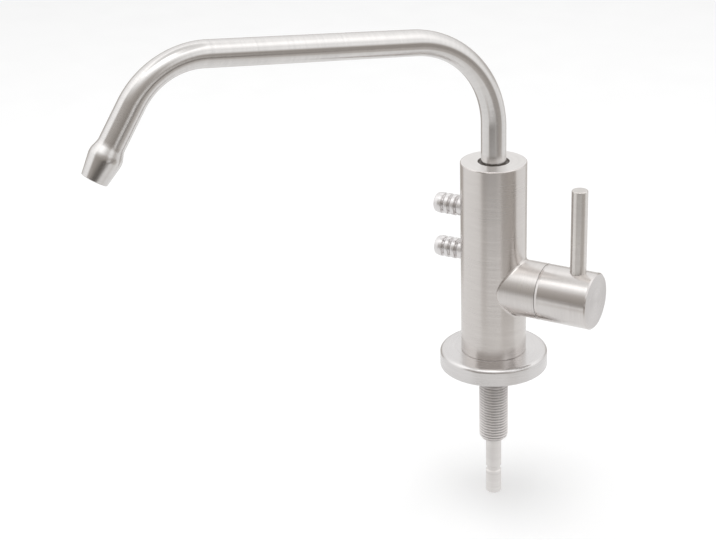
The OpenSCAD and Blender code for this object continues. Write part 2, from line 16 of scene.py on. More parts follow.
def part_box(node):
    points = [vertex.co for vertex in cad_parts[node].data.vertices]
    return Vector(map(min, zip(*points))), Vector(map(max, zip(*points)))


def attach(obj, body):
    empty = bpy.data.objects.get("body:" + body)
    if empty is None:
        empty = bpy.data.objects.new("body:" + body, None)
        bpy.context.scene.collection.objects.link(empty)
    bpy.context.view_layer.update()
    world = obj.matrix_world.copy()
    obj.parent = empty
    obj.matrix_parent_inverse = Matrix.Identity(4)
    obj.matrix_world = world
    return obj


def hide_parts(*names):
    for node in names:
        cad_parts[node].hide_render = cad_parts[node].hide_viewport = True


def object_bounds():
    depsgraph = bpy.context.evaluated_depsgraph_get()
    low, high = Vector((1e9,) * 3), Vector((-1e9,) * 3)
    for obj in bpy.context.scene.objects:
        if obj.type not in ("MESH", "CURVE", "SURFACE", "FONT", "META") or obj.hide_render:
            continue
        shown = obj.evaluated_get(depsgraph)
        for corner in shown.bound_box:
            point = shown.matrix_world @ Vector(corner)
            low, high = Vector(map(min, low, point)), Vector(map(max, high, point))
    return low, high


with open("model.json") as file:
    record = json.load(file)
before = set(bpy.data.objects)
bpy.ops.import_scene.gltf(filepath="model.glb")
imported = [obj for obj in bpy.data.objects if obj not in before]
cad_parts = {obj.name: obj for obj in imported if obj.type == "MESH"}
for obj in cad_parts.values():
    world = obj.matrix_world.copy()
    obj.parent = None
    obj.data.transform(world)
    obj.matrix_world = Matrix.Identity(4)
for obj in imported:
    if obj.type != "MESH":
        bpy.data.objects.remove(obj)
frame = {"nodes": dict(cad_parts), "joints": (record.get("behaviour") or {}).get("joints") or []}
CAD_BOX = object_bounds()
NODES = frame["nodes"]
JOINTS = {joint["name"]: joint for joint in frame["joints"]}

MM = 0.001
RIGHT = Vector((1, 0, 0))
BACK = Vector((0, 1, 0))
UP = Vector((0, 0, 1))

# Camera, fitted to the photograph's frame of 716 x 540 pixels
PHOTO_WIDTH = 716
FOCAL_PIXELS = 1628.3
SENSOR_WIDTH = 36.0
CAMERA_CLIP = (0.01, 50.0)
# Where the camera stands: degrees round the object, where 0 looks along +Y, and distances
CAMERA_AZIMUTH = 58.34
CAMERA_REACH = 594.1 * MM
CAMERA_HEIGHT = 300.0 * MM
# Where it points from there, in degrees: right of the column's axis, down, and its roll
CAMERA_PAN = -5.19
CAMERA_TILT = 23.47
CAMERA_ROLL = -2.07

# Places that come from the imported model
COLUMN_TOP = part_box("column_body")[1].z
SHANK_LOW, SHANK_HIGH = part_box("inlet_shank")
SHANK_R = SHANK_HIGH.x
VALVE = Vector(JOINTS["valve_turn"]["axis"]).normalized()
VALVE_CENTRE = UP * JOINTS["valve_turn"]["pos_m"][2]

# Spout: the tube and its middle line, from the riser to the nozzle
TUBE_R = 4.9 * MM
TUBE_BORE_R = 3.9 * MM
SPOUT_FOOT_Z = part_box("spout_tube")[0].z
RISER = 14.2 * MM
BEND_1_R = 38.2 * MM
RISE = math.radians(6.3)
RUN = 81.7 * MM
BEND_2_R = 29.6 * MM
DROP = math.radians(57)
TAIL = 14.4 * MM
# How much the tube is flattened in the middle of each bend, as a share of its width
BEND_1_OVAL = 0.08
BEND_2_OVAL = 0.05

# Nozzle, along the spout's own line
NOZZLE_LEN = 14.2 * MM
NOZZLE_R = 6.2 * MM
NOZZLE_NECK = 1.2 * MM
NOZZLE_NECK_ROUND = 6.0 * MM
NOZZLE_CREST = 5.1 * MM
NOZZLE_CREST_ROUND = 6.0 * MM
NOZZLE_END_R = 4.8 * MM
NOZZLE_END_ROUND = 0.35 * MM
NOZZLE_BORE_R = 2.5 * MM
NOZZLE_MOUTH_ROUND = 0.3 * MM
NOZZLE_SPIGOT = 6.0 * MM
NOZZLE_SPIGOT_GAP = 0.03 * MM
NOZZLE_SPIGOT_R = TUBE_BORE_R - NOZZLE_SPIGOT_GAP

# Shank, downwards from the flange: thread, rounded shoulder, stem with a groove
THREAD_LEN = 31.5 * MM
THREAD_PITCH = 1.25 * MM
# The thread's depth, and the widths of its crest and its root, as shares of the pitch
THREAD_DEPTH_SHARE = 0.61
THREAD_CREST = 0.125
THREAD_ROOT = 0.17
THREAD_DEPTH = THREAD_DEPTH_SHARE * THREAD_PITCH
SHOULDER_LAND = 0.5 * MM
SHOULDER_Z = -THREAD_LEN - SHOULDER_LAND
STEM_R = 3.175 * MM
STEM_TOP = SHOULDER_Z - SHANK_R + STEM_R
STEM_GROOVE_AT = 11.1 * MM
STEM_GROOVE_W = 2.4 * MM
STEM_GROOVE_H = 0.45 * MM
STEM_ROUND = 0.6 * MM
STUB_R = 5.0 * MM
SHANK_BORE_R = 2.0 * MM

# Hose barbs, along the valve's axis from the column's middle: a collar, ridges and a tip
BARB_R = 4.15 * MM
BARB_COLLAR_R = 3.95 * MM
BARB_ROOT_R = 3.3 * MM
BARB_BORE_R = 1.9 * MM
BARB_SPIGOT = 5.0 * MM
BARB_LEN = 11.8 * MM
BARB_PITCH = 2.85 * MM
BARB_CREST_W = 1.5 * MM
BARB_FLOOR_W = 0.5 * MM
BARB_SLOPE_W = BARB_PITCH - BARB_CREST_W - BARB_FLOOR_W
BARB_TIP_LEN = 3.4 * MM
BARB_TIP_R = 3.65 * MM
BARB_GROOVES = 3
# Rounding of a ridge where it starts to fall, of the groove's floor, of the ridge's steep edge,
# and of the tip: where it starts to fall, around its end and at the bore's mouth
BARB_FALL_ROUND = 0.35 * MM
BARB_FLOOR_ROUND = 0.1 * MM
BARB_STEEP_ROUND = 0.3 * MM
BARB_TIP_FALL_ROUND = 1.8 * MM
BARB_TIP_ROUND = 0.8 * MM
BARB_MOUTH_ROUND = 0.2 * MM

# Weld between the column and the valve's branch, dressed to a small radius
COLUMN_R = 13.0 * MM
BRANCH_R = 11.2 * MM
FILLET_R = 1.2 * MM
# The weld's hidden corner lies inside both: this many radii from the rolling ball's middle,
# towards the column and towards the branch
FILLET_BACK = 1.3

# How finely shapes are divided: round a piece, on a rounded corner, across the weld, along a
# bend, along one pitch of the thread, and on the shank's shoulder
ROUND_STEPS = 96
CORNER_STEPS = 6
FILLET_STEPS = 6
BEND_STEPS = 40
PITCH_STEPS = 10
SHOULDER_STEPS = 30
# Faces that meet at a larger angle have a sharp edge between them
SHARP_ANGLE = math.radians(40)


# Shapes


def add_object(name, data):
    thing = bpy.data.objects.new(name, data)
    bpy.context.scene.collection.objects.link(thing)
    return thing


def ring_solid(name, rings, body, replaced=None):
    """A closed solid through rings of points, joined each to the next and the last to the first.

    Its UV map holds metres: along the rings' sequence in u, and round them in v.
    """
    count, steps = len(rings), len(rings[0])
    mesh = bpy.data.meshes.new(name)
    points = [p for ring in rings for p in ring]
    faces = [
        (i * steps + j, i * steps + k, n * steps + k, n * steps + j)
        for i, n in ((i, (i + 1) % count) for i in range(count))
        for j, k in ((j, (j + 1) % steps) for j in range(steps))
    ]
    mesh.from_pydata(points, [], faces)

    middles = [sum(ring, Vector()) / steps for ring in rings]
    radii = [(ring[0] - middle).length for ring, middle in zip(rings, middles)]
    along = [0.0]
    for i in range(count):
        along.append(along[-1] + (rings[(i + 1) % count][0] - rings[i][0]).length)
    uv = mesh.uv_layers.new(name="along_and_round")
    for face in mesh.polygons:
        i, j = divmod(face.index, steps)
        corners = ((i, j), (i, j + 1), (i + 1, j + 1), (i + 1, j))
        for loop, (a, b) in zip(face.loop_indices, corners):
            uv.data[loop].uv = (along[a], b * math.tau / steps * radii[i])

    shell = bmesh.new()
    shell.from_mesh(mesh)
    bmesh.ops.recalc_face_normals(shell, faces=shell.faces)
    shell.to_mesh(mesh)
    shell.free()
    mesh.shade_smooth()
    mesh.set_sharp_from_angle(angle=SHARP_ANGLE)

    piece = add_object(name, mesh)
    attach(piece, body)
    if replaced:
        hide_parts(replaced)
    return piece


def circle(centre, radius, side, ahead):
    """Points of a circle about a centre, in the plane of two vectors, or of an ellipse."""
    turns = (math.tau * j / ROUND_STEPS for j in range(ROUND_STEPS))
    return [centre + radius * (math.cos(a) * side + math.sin(a) * ahead) for a in turns]


def rounded(corners):
    """A closed outline through (x, y, radius) corners, each rounded by an arc of its radius."""
    outline = []
    for i, (x, y, radius) in enumerate(corners):
        here = Vector((x, y))
        if radius == 0:
            outline.append(here)
            continue
        back = (Vector(corners[i - 1][:2]) - here).normalized()
        ahead = (Vector(corners[(i + 1) % len(corners)][:2]) - here).normalized()
        half = back.angle(ahead) / 2
        middle = here + (back + ahead).normalized() * radius / math.sin(half)
        start = (here + back * radius / math.tan(half) - middle).normalized()
        end = (here + ahead * radius / math.tan(half) - middle).normalized()
        shares = (k / CORNER_STEPS for k in range(CORNER_STEPS + 1))
        outline += [middle + radius * start.slerp(end, share) for share in shares]
    return outline


def spout_line():
    """The spout's middle line, as (reach, height, slope, flat).

    The slope is in radians above level, and flat is what a bend leaves of the tube's width.
    """
    riser_top = COLUMN_TOP + RISER
    bend_1 = Vector((BEND_1_R, riser_top))
    run_start = bend_1 + BEND_1_R * Vector((-math.sin(RISE), math.cos(RISE)))
    run_end = run_start + RUN * Vector((math.cos(RISE), math.sin(RISE)))
    bend_2 = run_end + BEND_2_R * Vector((math.sin(RISE), -math.cos(RISE)))

    line = [(0, SPOUT_FOOT_Z, math.pi / 2, 1)]
    bends = (
        (bend_1, BEND_1_R, math.pi / 2, RISE, BEND_1_OVAL),
        (bend_2, BEND_2_R, RISE, -DROP, BEND_2_OVAL),
    )
    for centre, radius, first, last, oval in bends:
        for i in range(BEND_STEPS + 1):
            share = i / BEND_STEPS
            slope = first + (last - first) * share
            spot = centre + radius * Vector((-math.sin(slope), math.cos(slope)))
            line.append((spot.x, spot.y, slope, 1 - oval * math.sin(math.pi * share)))
    reach, height, slope, flat = line[-1]
    line.append((reach + TAIL * math.cos(DROP), height - TAIL * math.sin(DROP), slope, flat))
    return line


def spout_ring(reach, height, slope, flat, radius):
    """A ring of points round the spout's middle line. The spout points along -Y."""
    across = flat * Vector((0, math.sin(slope), math.cos(slope)))
    return circle(Vector((0, -reach, height)), radius, RIGHT, across)


def make_spout_tube():
    line = spout_line()
    rings = [spout_ring(*spot, TUBE_R) for spot in line]
    rings += [spout_ring(*spot, TUBE_BORE_R) for spot in reversed(line)]
    return ring_solid("spout_tube_bent", rings, "spout", "spout_tube")


def make_nozzle():
    """A neck that flares to a soft crest and tapers to the end, on a spigot inside the tube."""
    reach, height, slope, flat = spout_line()[-1]
    corners = [
        (NOZZLE_SPIGOT_R, -NOZZLE_SPIGOT, 0),
        (NOZZLE_SPIGOT_R, 0, 0),
        (TUBE_R, 0, 0),
        (TUBE_R, NOZZLE_NECK, NOZZLE_NECK_ROUND),
        (NOZZLE_R, NOZZLE_CREST, NOZZLE_CREST_ROUND),
        (NOZZLE_END_R, NOZZLE_LEN, NOZZLE_END_ROUND),
        (NOZZLE_BORE_R, NOZZLE_LEN, NOZZLE_MOUTH_ROUND),
        (NOZZLE_BORE_R, -NOZZLE_SPIGOT, 0),
    ]
    rings = []
    for radius, ahead in rounded(corners):
        spot = (reach + ahead * math.cos(slope), height + ahead * math.sin(slope))
        rings.append(spout_ring(*spot, slope, flat, radius))
    return ring_solid("outlet_nozzle_turned", rings, "spout", "outlet_nozzle")


def thread_cut(z, turn):
    """Depth of the helical thread at a height and a share of a turn. It fades in at its top."""
    phase = (-z / THREAD_PITCH - turn) % 1
    from_crest = abs(phase - 0.5) * 2
    depth = (from_crest - THREAD_CREST) / (1 - THREAD_CREST - THREAD_ROOT)
    return THREAD_DEPTH * min(max(depth, 0), 1) * min(-z / THREAD_PITCH, 1)


def make_shank():
    """The shank with a helical thread that runs out over its shoulder, its stem and its bore."""
    sides = circle(Vector(), 1, RIGHT, BACK)
    shoulder = SHANK_R - STEM_R
    rows = round(-SHOULDER_Z / THREAD_PITCH * PITCH_STEPS)
    threaded = [(SHANK_R, SHOULDER_Z * row / rows, 1) for row in range(rows)]
    for i in range(SHOULDER_STEPS + 1):
        angle = math.pi / 2 * i / SHOULDER_STEPS
        drop, fade = shoulder * math.sin(angle), math.cos(angle)
        threaded.append((STEM_R + shoulder * fade, SHOULDER_Z - drop, fade))
    rings = [
        [
            side * (radius - fade * thread_cut(z, j / ROUND_STEPS)) + UP * z
            for j, side in enumerate(sides)
        ]
        for radius, z, fade in threaded
    ]

    stem_end = SHANK_LOW.z
    groove_z = stem_end + STEM_GROOVE_AT
    groove_half = STEM_GROOVE_W / 2
    outline = [
        (STEM_R, groove_z + groove_half),
        (STEM_R - STEM_GROOVE_H, groove_z + groove_half - STEM_GROOVE_H),
        (STEM_R - STEM_GROOVE_H, groove_z - groove_half + STEM_GROOVE_H),
        (STEM_R, groove_z - groove_half),
    ]
    end = rounded([
        (STEM_R, groove_z, 0), (STEM_R, stem_end, STEM_ROUND), (SHANK_BORE_R, stem_end, 0)
    ])
    outline += [tuple(p) for p in end[1:]]
    outline += [(SHANK_BORE_R, SHANK_HIGH.z), (STUB_R, SHANK_HIGH.z), (STUB_R, 0)]
    rings += [[side * r + UP * z for side in sides] for r, z in outline]
    return ring_solid("inlet_shank_threaded", rings, "body", "inlet_shank")


def make_barb(node):
    """A barb whose ridges are rounded over. Its collar sits on the column's round side."""
    outwards, side = -VALVE, UP.cross(VALVE)
    low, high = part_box(node)
    axis = UP * (low.z + high.z) / 2
    tip = COLUMN_R + BARB_LEN

    def on_column(radius):
        """A ring of that radius on the column's side, under the barb."""
        return [
            p + outwards * math.sqrt(COLUMN_R**2 - p.dot(side) ** 2)
            for p in circle(Vector(), radius, side, UP)
        ]

    corners = []
    for i in reversed(range(BARB_GROOVES)):
        start = tip - BARB_TIP_LEN - i * BARB_PITCH
        before = BARB_COLLAR_R if i == BARB_GROOVES - 1 else BARB_R
        corners += [
            (before, start - BARB_FLOOR_W - BARB_SLOPE_W, BARB_FALL_ROUND),
            (BARB_ROOT_R, start - BARB_FLOOR_W, BARB_FLOOR_ROUND),
            (BARB_ROOT_R, start, BARB_FLOOR_ROUND),
            (BARB_R, start, BARB_STEEP_ROUND),
        ]
    corners += [
        (BARB_R, tip - BARB_TIP_LEN + BARB_CREST_W, BARB_TIP_FALL_ROUND),
        (BARB_TIP_R, tip, BARB_TIP_ROUND),
        (BARB_BORE_R, tip, BARB_MOUTH_ROUND),
        (BARB_BORE_R, COLUMN_R - BARB_SPIGOT, 0),
        (BARB_ROOT_R, COLUMN_R - BARB_SPIGOT, 0),
    ]
    rings = [on_column(BARB_ROOT_R), on_column(BARB_COLLAR_R)]
    rings += [circle(outwards * t, r, side, UP) for r, t in rounded(corners)]
    rings = [[p + axis for p in ring] for ring in rings]
    return ring_solid(f"{node}_turned", rings, "body", node)


def make_branch_fillet():
    """The dressed weld round the branch, as a rolling ball between two crossing cylinders."""
    side = UP.cross(VALVE)
    ball_r, column_r = BRANCH_R + FILLET_R, COLUMN_R + FILLET_R
    sections = []
    for j in range(ROUND_STEPS):
        angle = math.tau * j / ROUND_STEPS
        from_branch = math.cos(angle) * side + math.sin(angle) * UP
        level = math.sqrt(column_r**2 - (ball_r * math.cos(angle)) ** 2)
        ball = ball_r * from_branch + level * VALVE
        from_column = Vector((ball.x, ball.y, 0)).normalized()
        section = [
            ball - FILLET_R * from_column.slerp(from_branch, k / FILLET_STEPS)
            for k in range(FILLET_STEPS + 1)
        ]
        section.append(ball - FILLET_BACK * FILLET_R * (from_column + from_branch))
        sections.append([p + VALVE_CENTRE for p in section])
    rings = [list(ring) for ring in zip(*sections)]
    return ring_solid("branch_fillet", rings, "body")


# Materials

# The values between which a noise usually lies
NOISE_RANGE = (0.3, 0.7)


class Tree:
    """A node tree, with short ways to add nodes and join them."""

    def __init__(self, tree):
        self.tree = tree

    def put(self, socket, value):
        if isinstance(value, bpy.types.NodeSocket):
            self.tree.links.new(value, socket)
        else:
            socket.default_value = value

    def add(self, kind, inputs=None, **settings):
        node = self.tree.nodes.new(kind)
        for key, value in settings.items():
            setattr(node, key, value)
        for key, value in (inputs or {}).items():
            self.put(node.inputs[key], value)
        return node

    def math(self, operation, *values):
        node = self.add("ShaderNodeMath", operation=operation)
        for socket, value in zip(node.inputs, values):
            self.put(socket, value)
        return node.outputs[0]

    def vector(self, operation, *values):
        node = self.add("ShaderNodeVectorMath", operation=operation)
        for socket, value in zip(node.inputs, values):
            self.put(socket, value)
        number = operation in ("DOT_PRODUCT", "LENGTH")
        return node.outputs["Value" if number else "Vector"]

    def scaled(self, vector, factor):
        node = self.add("ShaderNodeVectorMath", {"Scale": factor}, operation="SCALE")
        self.put(node.inputs[0], vector)
        return node.outputs["Vector"]

    def remap(self, value, low, high, to_low, to_high, kind="LINEAR"):
        names = ("Value", "From Min", "From Max", "To Min", "To Max")
        inputs = dict(zip(names, (value, low, high, to_low, to_high)))
        return self.add("ShaderNodeMapRange", inputs, interpolation_type=kind).outputs[0]

    def noise(self, vector, scale, detail=2.0, roughness=0.5):
        inputs = {"Vector": vector, "Scale": scale, "Detail": detail, "Roughness": roughness}
        return self.add("ShaderNodeTexNoise", inputs).outputs["Fac"]

    def spread(self, noise, first, last):
        """A noise's usual values, stretched from a first to a last value."""
        return self.remap(noise, *NOISE_RANGE, first, last)

    def blend(self, factor, first, second):
        node = self.add("ShaderNodeMix", data_type="RGBA")
        for index, value in ((0, factor), (6, first), (7, second)):
            self.put(node.inputs[index], value)
        return node.outputs[2]

    def mix(self, factor, first, second):
        node = self.add("ShaderNodeMix", data_type="FLOAT")
        for index, value in ((0, factor), (2, first), (3, second)):
            self.put(node.inputs[index], value)
        return node.outputs[0]

    def ramp(self, value, stops):
        """A value read off the line through stops of (place, level)."""
        low, high = stops[0][0], stops[-1][0]
        node = self.add("ShaderNodeValToRGB", {"Fac": self.remap(value, low, high, 0, 1)})
        elements = node.color_ramp.elements
        for place, _ in stops[1:-1]:
            elements.new((place - low) / (high - low))
        for element, (_, level) in zip(elements, stops):
            element.color = (level, level, level, 1)
        return node.outputs["Color"]

    def bump(self, height, strength, distance):
        inputs = {"Height": height, "Strength": strength, "Distance": distance}
        return self.add("ShaderNodeBump", inputs).outputs["Normal"]


def new_material(name):
    material = bpy.data.materials.new(name)
    material.use_nodes = True
    return material, Tree(material.node_tree), material.node_tree.nodes["Principled BSDF"]


def shade(colour, factor):
    """A colour made lighter or darker by a factor, with alpha."""
    return tuple(min(channel * factor, 1) for channel in colour[:3]) + (1,)


STEEL = (0.672, 0.655, 0.643)
# Brushing: lines per metre, how slowly a line changes along its length, and clouds per metre
FINE_LINES = 5500
BROAD_LINES = 1100
LINE_DRIFT = 90
CLOUDS = 60
# The fine lines' share in the streaks, and the streaks' share in the wear
FINE_SHARE = 0.5
STREAK_SHARE = 0.7
LINE_HEIGHT = 0.01 * MM
BRUSHED_ROUGH_SPREAD = 0.05


def brush(tree, surface, spot, stacked, across, tint=STEEL, rough=0.3, grain=0.06, depth=0.25,
          stretch=0.65):
    """Brushed metal: fine and broad lines in colour, roughness and bump, and a stretched gloss.

    spot is the place in metres, stacked a vector in metres in which the lines are stacked, and
    across the direction across the lines.
    """
    slow = tree.scaled(spot, LINE_DRIFT)
    fine_at = tree.vector("ADD", tree.scaled(stacked, FINE_LINES), slow)
    broad_at = tree.vector("ADD", tree.scaled(stacked, BROAD_LINES), slow)
    fine = tree.noise(fine_at, 1.0, detail=3.0, roughness=0.6)
    broad = tree.noise(broad_at, 1.0)
    cloud = tree.noise(spot, CLOUDS, detail=3.0)
    streak = tree.mix(FINE_SHARE, broad, fine)
    wear = tree.mix(STREAK_SHARE, cloud, streak)

    dark, pale = shade(tint, 1 - grain), shade(tint, 1 + grain)
    roughness = tree.spread(wear, rough + BRUSHED_ROUGH_SPREAD, rough - BRUSHED_ROUGH_SPREAD)
    surface.inputs["Metallic"].default_value = 1.0
    surface.inputs["Anisotropic"].default_value = stretch
    tree.put(surface.inputs["Base Color"], tree.blend(tree.spread(wear, 0, 1), dark, pale))
    tree.put(surface.inputs["Roughness"], roughness)
    tree.put(surface.inputs["Tangent"], across)
    tree.put(surface.inputs["Normal"], tree.bump(streak, depth, LINE_HEIGHT))


def turned(name, axis=UP, centre=Vector(), **looks):
    """Brushed metal whose lines run round an axis, as a lathe leaves them."""
    material, tree, surface = new_material(name)
    coordinates = tree.add("ShaderNodeTexCoord").outputs
    spot = tree.vector("SUBTRACT", coordinates["Object"], tuple(centre))
    line = tree.vector("CROSS_PRODUCT", tuple(axis), spot)
    height = tree.vector("DOT_PRODUCT", spot, tuple(axis))
    radius = tree.vector("LENGTH", line)
    stacked = tree.add("ShaderNodeCombineXYZ", {"X": radius, "Y": height}).outputs[0]
    across = tree.vector("NORMALIZE", tree.vector("CROSS_PRODUCT", coordinates["Normal"], line))
    across = tree.add(
        "ShaderNodeVectorTransform", {"Vector": across}, vector_type="VECTOR",
        convert_from="OBJECT", convert_to="WORLD",
    ).outputs[0]
    brush(tree, surface, spot, stacked, across, **looks)
    return material


def brushed_tube(name, **looks):
    """Brushed metal whose lines run round a bent tube, from the tube's own UV map."""
    material, tree, surface = new_material(name)
    coordinates = tree.add("ShaderNodeTexCoord").outputs
    along = tree.add("ShaderNodeSeparateXYZ", {"Vector": coordinates["UV"]}).outputs["X"]
    stacked = tree.add("ShaderNodeCombineXYZ", {"X": along}).outputs[0]
    across = tree.add("ShaderNodeTangent", direction_type="UV_MAP").outputs[0]
    brush(tree, surface, coordinates["Object"], stacked, across, **looks)
    return material


# Moulded and pressed surfaces: spots of mottling and grains per metre
MOTTLING = 150.0
GRAINS = 900.0
GRAIN_HEIGHT = 0.02 * MM
PLAIN_ROUGH_SPREAD = 0.06


def plain(name, colour, rough, variation=0.08, depth=0.15, metallic=0.0):
    """A moulded or pressed surface: slight mottling, and a fine grain in bump and roughness."""
    material, tree, surface = new_material(name)
    place = tree.add("ShaderNodeTexCoord").outputs["Object"]
    mottle = tree.noise(place, MOTTLING, detail=4.0)
    grain = tree.noise(place, GRAINS, detail=3.0)
    dark, pale = shade(colour, 1 - variation), shade(colour, 1 + variation)
    roughness = tree.spread(grain, rough - PLAIN_ROUGH_SPREAD, rough + PLAIN_ROUGH_SPREAD)
    surface.inputs["Metallic"].default_value = metallic
    tree.put(surface.inputs["Base Color"], tree.blend(tree.spread(mottle, 0, 1), dark, pale))
    tree.put(surface.inputs["Roughness"], roughness)
    tree.put(surface.inputs["Normal"], tree.bump(grain, depth, GRAIN_HEIGHT))
    return material


def dress(piece, *materials):
    """Puts materials on a piece in place of the ones it came with."""
    piece.data.materials.clear()
    for material in materials:
        piece.data.materials.append(material)


# How near a face's middle lies to the surface it belongs to, and how squarely an end face points
ON_SURFACE = 0.02 * MM
END_FACING = 0.99


def dress_column(fillet):
    """The column, with its branch brushed round the valve's axis, and its faced top."""
    side = turned("steel_column", tint=(0.668, 0.636, 0.614), rough=0.25, grain=0.045, depth=0.18)
    branch = turned("steel_branch", VALVE, VALVE_CENTRE, tint=(0.700, 0.672, 0.653))
    top = turned("steel_column_top", tint=shade(STEEL, factor=1.2), rough=0.36)
    column = NODES["column_body"]
    dress(column, side, branch, top)
    for face in column.data.polygons:
        outside = face.center.to_2d().length > COLUMN_R + ON_SURFACE
        on_top = face.center.z > COLUMN_TOP - ON_SURFACE
        face.material_index = 1 if outside else 2 if on_top else 0
    dress(fillet, side)


def dress_flange():
    dress(NODES["base_flange"], turned("steel_flange", tint=(0.700, 0.683, 0.677), rough=0.26))


def dress_handle():
    """The knob, with its end face apart, and the lever's rod."""
    side = turned("steel_knob", VALVE, VALVE_CENTRE, tint=(0.690, 0.663, 0.648), rough=0.22)
    end = turned("steel_knob_end", VALVE, VALVE_CENTRE, tint=(0.620, 0.596, 0.585))
    knob = NODES["handle_knob"]
    dress(knob, side, end)
    for face in knob.data.polygons:
        face.material_index = 1 if face.normal.dot(VALVE) > END_FACING else 0

    rod_low, rod_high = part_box("lever_rod")
    rod_centre = (rod_low + rod_high) / 2
    dress(NODES["lever_rod"], turned("steel_rod", UP, rod_centre, tint=(0.705, 0.678, 0.652)))


def dress_spout(tube, nozzle):
    reach, height, slope, _ = spout_line()[-1]
    axis = Vector((0, -math.cos(slope), math.sin(slope)))
    start = Vector((0, -reach, height))
    steel = shade(STEEL, factor=1.03)
    dress(nozzle, turned("steel_nozzle", axis, start, tint=steel, rough=0.24))
    dress(tube, brushed_tube("steel_spout", tint=steel, rough=0.21))


def dress_shank(shank):
    """The shank, with painted shade darkening the thread's root, and its stem."""
    machined = {"rough": 0.6, "depth": 0.1, "stretch": 0.0}
    thread = turned("steel_thread", tint=(0.84, 0.815, 0.805), **machined)
    # The root's darker tint is painted shade: it stands in for the shadow in the thread's
    # grooves.
    root = turned("steel_thread_root_painted_shade", tint=(0.62, 0.600, 0.592), **machined)
    stem = turned("steel_stem", tint=shade(STEEL, factor=1.24), **machined)
    dress(shank, thread, stem, root)
    for face in shank.data.polygons:
        turn = math.atan2(face.center.y, face.center.x) / math.tau
        # Faces deep in the thread take the root's painted shade.
        deep = thread_cut(face.center.z, turn) > THREAD_DEPTH / 2
        face.material_index = 1 if face.center.z < STEM_TOP else 2 if deep else 0


def dress_barb(barb):
    corners = [Vector(corner) for corner in barb.bound_box]
    middle = sum(corners, Vector()) / len(corners)
    looks = {"tint": (0.795, 0.777, 0.775), "rough": 0.36, "depth": 0.1}
    dress(barb, turned(f"steel_{barb.name}", VALVE, middle, **looks))


def dress_inner_pieces():
    """The pieces that are mostly hidden: brass, rubber, ceramic, plastic and spring steel."""
    brass = plain("brass", (0.70, 0.50, 0.22), 0.32, metallic=1.0)
    rubber = plain("rubber", (0.022, 0.022, 0.022), 0.62, variation=0.2, depth=0.3)
    ceramic = plain("ceramic", (0.83, 0.82, 0.78), 0.2, variation=0.03, depth=0.05)
    dark_plastic = plain("dark_plastic", (0.14, 0.125, 0.115), 0.5, variation=0.15)
    pale_plastic = plain("pale_plastic", (0.72, 0.72, 0.69), 0.4, variation=0.04)
    spring = plain("spring_steel", (0.42, 0.41, 0.40), 0.34, metallic=1.0)
    for material, names in (
        (brass, ("cartridge_body", "spindle", "spout_sleeve")),
        (rubber, ("base_ring", "shank_seal", "cartridge_o_ring", "seat_seal", "spindle_o_rings",
                  "spout_o_rings")),
        (ceramic, ("fixed_disc", "moving_disc")),
        (dark_plastic, ("spout_bush",)),
        (pale_plastic, ("thrust_washer",)),
        (spring, ("spindle_clip", "spout_snap_ring", "handle_grub_screw")),
    ):
        for name in names:
            dress(NODES[name], material)


# Stage


def make_camera():
    """The camera at the photograph's viewing angle. Returns its turn round the object."""
    turn = Matrix.Rotation(math.radians(CAMERA_AZIMUTH), 4, "Z")
    data = bpy.data.cameras.new("camera")
    data.sensor_width = SENSOR_WIDTH
    data.lens = FOCAL_PIXELS * SENSOR_WIDTH / PHOTO_WIDTH
    data.clip_start, data.clip_end = CAMERA_CLIP
    camera = add_object("camera", data)
    camera.matrix_world = (
        turn
        @ Matrix.Translation((0, -CAMERA_REACH, CAMERA_HEIGHT))
        @ Matrix.Rotation(math.radians(-CAMERA_PAN), 4, "Z")
        @ Matrix.Rotation(math.radians(90 - CAMERA_TILT), 4, "X")
        @ Matrix.Rotation(math.radians(CAMERA_ROLL), 4, "Z")
    )
    bpy.context.scene.camera = camera
    return turn


WHITE = (1, 1, 1, 1)
# The dark parts of the studio are a little warm, and the pale ones white
WARM = (1.0, 0.92, 0.84, 1)
WARM_BELOW = 0.3
WHITE_ABOVE = 0.95


def bearing_of(tree, spot, turn):
    """Degrees from the camera's side round to a place or direction, positive to its right."""
    side = tree.vector("DOT_PRODUCT", spot, tuple(turn @ RIGHT))
    front = tree.vector("DOT_PRODUCT", spot, tuple(turn @ -BACK))
    return tree.math("DEGREES", tree.math("ARCTAN2", side, front))


def past(tree, value, limit, soft):
    """0 before a limit and 1 after it, with a soft edge."""
    return tree.remap(value, limit - soft, limit + soft, 0, 1, "SMOOTHSTEP")


def between(tree, value, low, high, soft):
    """1 between two limits and 0 outside them, with soft edges."""
    return tree.math("SUBTRACT", past(tree, value, low, soft), past(tree, value, high, soft))


def studio_colour(tree, level, mirrored):
    """White, but warm where something dark is mirrored."""
    dark = tree.math("SUBTRACT", 1, tree.remap(level, WARM_BELOW, WHITE_ABOVE, 0, 1))
    return tree.blend(tree.math("MULTIPLY", mirrored, dark), WHITE, WARM)


FLOOR_SIZE = 8.0
FLOOR_ROUGH = 0.9
# The floor's darkest and palest grey, and its clouds per metre
FLOOR_GREYS = (0.86, 0.90)
FLOOR_CLOUDS = 30.0
# Light that the floor gives to the camera alone, so that it looks white outside the shadow
FLOOR_GLOW = 0.15
# The floor as the metal mirrors it: brightness near the camera and far behind, and the places,
# counted towards the camera, at which it reaches them
TABLE_NEAR = 0.9
TABLE_FAR = 1.0
TABLE_FRONT = 0.4
TABLE_BACK = -0.9
